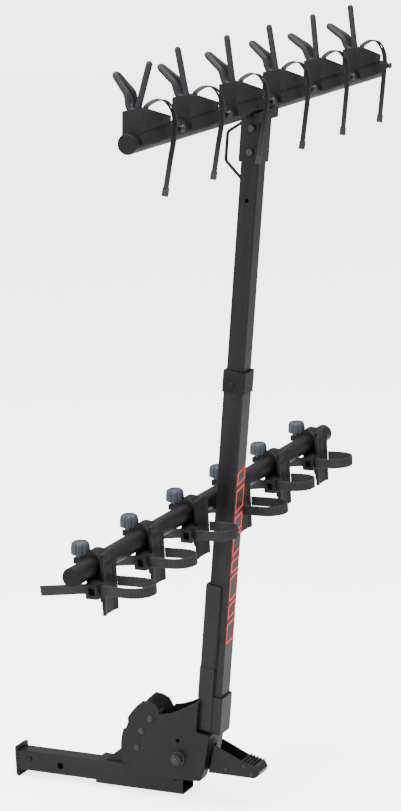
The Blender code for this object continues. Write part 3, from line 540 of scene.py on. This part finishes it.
def weld_mesh(first, last, radius, place, ripple_pitch=0.0042):
    """A straight weld bead with its row of ripples."""
    first, last = Vector(first), Vector(last)
    path = smooth_path([first, (first + last) / 2, last], 40)
    length = 0.0
    radii = []
    for i, point in enumerate(path):
        if i:
            length += (point - path[i - 1]).length
        ripple = 0.86 + 0.14 * abs(sin(pi * length / ripple_pitch))
        end = min(1.0, 0.35 + min(i, len(path) - 1 - i) * 0.2)
        radii.append(radius * ripple * end)
    shape = bmesh.new()
    add_rings(shape, tube_rings(path, radii, 10))
    shape.transform(place)
    return close_mesh(shape, "weld", 60)


def build_welds(finish):
    """Beads on the mast's channels, round the sleeve's mouth and along the index plates' lower edges."""
    seams = []
    for side in (-1, 1):
        seams.append(((0.0080, 0.0268 * side, 0.306), (0.0080, 0.0268 * side, 0.508)))
        seams.append(((0.0062, 0.0300 * side, 0.150), (0.0062, 0.0300 * side, 0.230)))
        seams.append(((0.0070, 0.0270 * side, 0.236), (0.0070, 0.0270 * side, 0.298)))
    seams.append(((0.0265, -0.022, 0.2335), (0.0265, 0.022, 0.2335)))
    seams.append(((-0.0270, -0.024, 0.512), (-0.0270, 0.024, 0.512)))
    for number, (first, last) in enumerate(seams):
        bead = weld_mesh(first, last, 0.0021, MAST)
        add_piece(f"mast_weld_{number + 1}", bead, finish, "lower_mast")
    runs = [((0.0995, y, -0.020), (0.0995, y, 0.020)) for y in (-0.0262, 0.0262)]
    runs.append(((0.0995, -0.020, 0.0262), (0.0995, 0.020, 0.0262)))
    runs += [((0.205, 0.0325 * side, 0.0036), (0.315, 0.0325 * side, 0.0036)) for side in (-1, 1)]
    for number, (first, last) in enumerate(runs):
        bead = weld_mesh(first, last, 0.0022, Matrix())
        add_piece(f"base_weld_{number + 1}", bead, finish, "base")


def outline_strip(shape, corners_2d, width, level):
    """A closed flat strip following a polygon on the mast's rear face."""
    count = len(corners_2d)
    middle = Vector((sum(p[0] for p in corners_2d) / count, sum(p[1] for p in corners_2d) / count))
    outer, inner = [], []
    for p in corners_2d:
        point = Vector(p)
        inward = (middle - point).normalized() * width
        for row, spot in ((outer, point), (inner, point + inward)):
            row.append([shape.verts.new((level + lift, spot[0], spot[1])) for lift in (0.0, 0.00025)])
    for i in range(count):
        j = (i + 1) % count
        for side in (0, 1):
            shape.faces.new((outer[i][side], outer[j][side], inner[j][side], inner[i][side]))
        shape.faces.new((outer[i][0], outer[j][0], outer[j][1], outer[i][1]))
        shape.faces.new((inner[i][0], inner[j][0], inner[j][1], inner[i][1]))


def build_graphic(finish):
    """A plain pattern of slanted red outlines up the rear face of the lower mast."""
    shape = bmesh.new()
    along, half, gap = 0.366, 0.0205, 0.011
    bars = ((0.052, 0.008), (0.034, 0.012), (0.060, 0.010), (0.030, 0.006))
    bars += ((0.048, 0.012), (0.038, 0.008), (0.056, 0.010), (0.032, 0.012))
    for height, slant in bars:
        top = along + height
        points = [(-half, along), (half, along + slant), (half, top + slant), (-half, top)]
        outline_strip(shape, points, 0.0058, MAST_HALF + 0.00005)
        along += height + gap
    shape.transform(MAST)
    add_piece("mast_graphic", close_mesh(shape, "graphic"), finish, "lower_mast")


def disc_mesh(radius, height, place):
    """A low domed head with a rounded rim, standing on the XY plane."""
    profile = ((1.0, 0.0), (1.0, 0.45), (0.95, 0.72), (0.82, 0.90))
    profile += ((0.60, 1.0), (0.35, 1.0), (0.28, 0.82), (0.05, 0.80))
    shape = bmesh.new()
    add_rings(shape, [circle(radius * share, 28, height * rise) for share, rise in profile])
    shape.transform(place)
    return close_mesh(shape, "disc", 50)


def build_heads(bolt):
    """Stud caps on the saddles and rivets on the pedal."""
    stud_y, stud_z = STUD
    for k in STATIONS:
        face = Matrix.Translation((STUD_FACE_X, stud_y, stud_z)) @ Matrix.Rotation(pi / 2, 4, "Y")
        mesh = disc_mesh(0.0078, 0.0036, saddle_place(k) @ face)
        add_piece(f"saddle_{k + 1}_stud_cap", mesh, bolt, "upper_mast")
    for number, (x, z) in enumerate(((0.457, 0.048), (0.506, 0.062), (0.525, 0.045))):
        for side, way in ((-1, "near"), (1, "far")):
            face = Matrix.Translation((x, 0.0250 * side, z)) @ Matrix.Rotation(-side * pi / 2, 4, "X")
            mesh = disc_mesh(0.0046, 0.0020, face)
            add_piece(f"pedal_rivet_{number + 1}_{way}", mesh, bolt, "pedal")


def shoulder_mesh(place, steps=12, start=97, radius=0.0322, thickness=0.0032):
    """The moulded cover that flows from the knob's neck over the bar into the trough."""
    section = ((-1.0, -0.6), (-1.0, 0.3), (-0.93, 0.8), (-0.5, 1.0))
    section += ((0.5, 1.0), (0.93, 0.8), (1.0, 0.3), (1.0, -0.6))
    rings = []
    for step in range(steps + 1):
        part = step / steps
        angle = radians(start * (1 - part))
        half = 0.0150 + 0.0125 * part**0.7
        radial = Vector((cos(angle), 0.0, sin(angle)))
        centre = radial * radius + Vector((0.0, -0.0040 * part, 0.0))
        across = Vector((0.0, half, 0.0))
        rings.append([centre + across * share + radial * thickness * rise for share, rise in section])
    shape = bmesh.new()
    add_rings(shape, rings)
    shape.transform(place)
    return close_mesh(shape, "shoulder", 40)


def jaw_mesh(place, back=0.0262, top=-0.026, pitch=0.0145):
    """The stepped jaw under the bar, three ribs wide, on the trough's vehicle side."""
    outline = [(back, top)]
    depth = 0.0060
    for step in range(5):
        level = top - pitch * step
        outline += [(depth, level), (depth + 0.0012, level - 0.0105)]
        depth += 0.0036
        outline.append((depth + 0.0012, level - 0.0118))
    outline.append((back, -0.100))
    shape = bmesh.new()
    for low, high in ((-0.0190, -0.0110), (-0.0085, 0.0005), (0.0030, 0.0110)):
        add_rings(shape, [[(x, y, z) for x, z in outline] for y in (low, high)])
    shape.transform(place)
    return close_mesh(shape, "jaw", 30)


def build_cradle_details(finish):
    for k in STATIONS:
        place, body, name = cradle_place(k), f"cradle_{k + 1}", f"wheel_cradle_{k + 1}"
        add_piece(name + "_shoulder", shoulder_mesh(place), finish, body)
        jaw = add_piece(name + "_jaw", jaw_mesh(place), finish, body)
        soften(jaw, 0.0006)


def lip_mesh(place):
    """The raised rail along the bottom of the saddle's rear face."""
    path = [Vector((0.0210, y, 0.0225)) for y in (0.003, 0.04, 0.08, 0.120, 0.135)]
    rod, radii = domed(path, 0.0018)
    shape = bmesh.new()
    add_rings(shape, tube_rings(rod, radii, 12))
    shape.transform(place)
    return close_mesh(shape, "lip")


def build_saddle_details(finish):
    for k in STATIONS:
        add_piece(f"saddle_{k + 1}_lip", lip_mesh(saddle_place(k)), finish, "upper_mast")


# CAD nodes with better finishes.

def soften(piece, width):
    """Round the piece's sharp edges."""
    edge = piece.modifiers.new("edge", "BEVEL")
    edge.width = width
    edge.segments = 2
    edge.limit_method = "ANGLE"
    edge.angle_limit = radians(32)
    edge.harden_normals = True


def dress(node, finish, width=0.0008):
    """Give a CAD node its finish and softly rounded edges."""
    piece = NODES[node]
    piece.data.materials.clear()
    piece.data.materials.append(finish)
    weld = piece.modifiers.new("weld", "WELD")
    weld.merge_threshold = 0.00002
    flat = piece.modifiers.new("flat", "DECIMATE")
    flat.decimate_type = "DISSOLVE"
    flat.angle_limit = radians(1.0)
    soften(piece, width)


STEEL_NODES = ("hitch_tube", "base_sleeve", "index_plate_near", "index_plate_far", "swivel_bracket")
STEEL_NODES += ("pedal_lever", "mast_outer", "lower_bar", "mast_inner", "top_bracket", "grab_handle")
STEEL_NODES += ("upper_bar",)
BOLT_NODES = ("index_pin_1", "index_pin_2", "index_pin_3", "pivot_bolt", "bracket_bolt_1", "bracket_bolt_2")
PLASTIC_NODES = ("hitch_wedge", "clamp_collar")


def dress_cad_nodes(coat, bolt, plastic):
    for node in STEEL_NODES:
        dress(node, coat)
    for node in BOLT_NODES:
        dress(node, bolt, 0.0005)
    for node in PLASTIC_NODES:
        dress(node, plastic)
    for bar in ("lower_bar", "upper_bar"):
        dress(bar + "_cap_near", plastic, 0.0004)
        dress(bar + "_cap_far", plastic, 0.0004)
    for k in STATIONS:
        dress(f"saddle_{k + 1}", plastic, 0.0012)
        dress(f"wheel_cradle_{k + 1}", plastic, 0.0010)


def main():
    add_camera()
    add_surroundings()
    coat = grained("powder_coat", (0.0048, 0.0040, 0.0046), 0.42, 700.0, 0.25, Specular_IOR_Level=0.16)
    bolt = grained("dark_zinc", (0.014, 0.013, 0.015), 0.40, 500.0, 0.15, Specular_IOR_Level=0.25)
    plastic = grained("moulded_plastic", (0.0044, 0.0042, 0.0046), 0.52, 1100.0, 0.35, Specular_IOR_Level=0.14)
    rubbery = grained("rubber_coating", (0.0150, 0.0138, 0.0162), 0.62, 600.0, 0.35, Specular_IOR_Level=0.16)
    strap = grained("strap_rubber", (0.0120, 0.0115, 0.0130), 0.62, 800.0, 0.3, Specular_IOR_Level=0.16)
    blue_grey = grained("knob_plastic", (0.032, 0.038, 0.049), 0.48, 900.0, 0.2, Specular_IOR_Level=0.2)
    red = grained("red_print", (0.85, 0.006, 0.008), 0.50, 400.0, 0.1, wear=0.0, Specular_IOR_Level=0.2)
    dress_cad_nodes(coat, bolt, plastic)
    build_yokes(rubbery)
    build_fork_straps(strap)
    build_knobs(blue_grey)
    build_wheel_straps(strap)
    build_welds(coat)
    build_graphic(red)
    build_heads(bolt)
    build_cradle_details(plastic)
    build_saddle_details(plastic)


main()
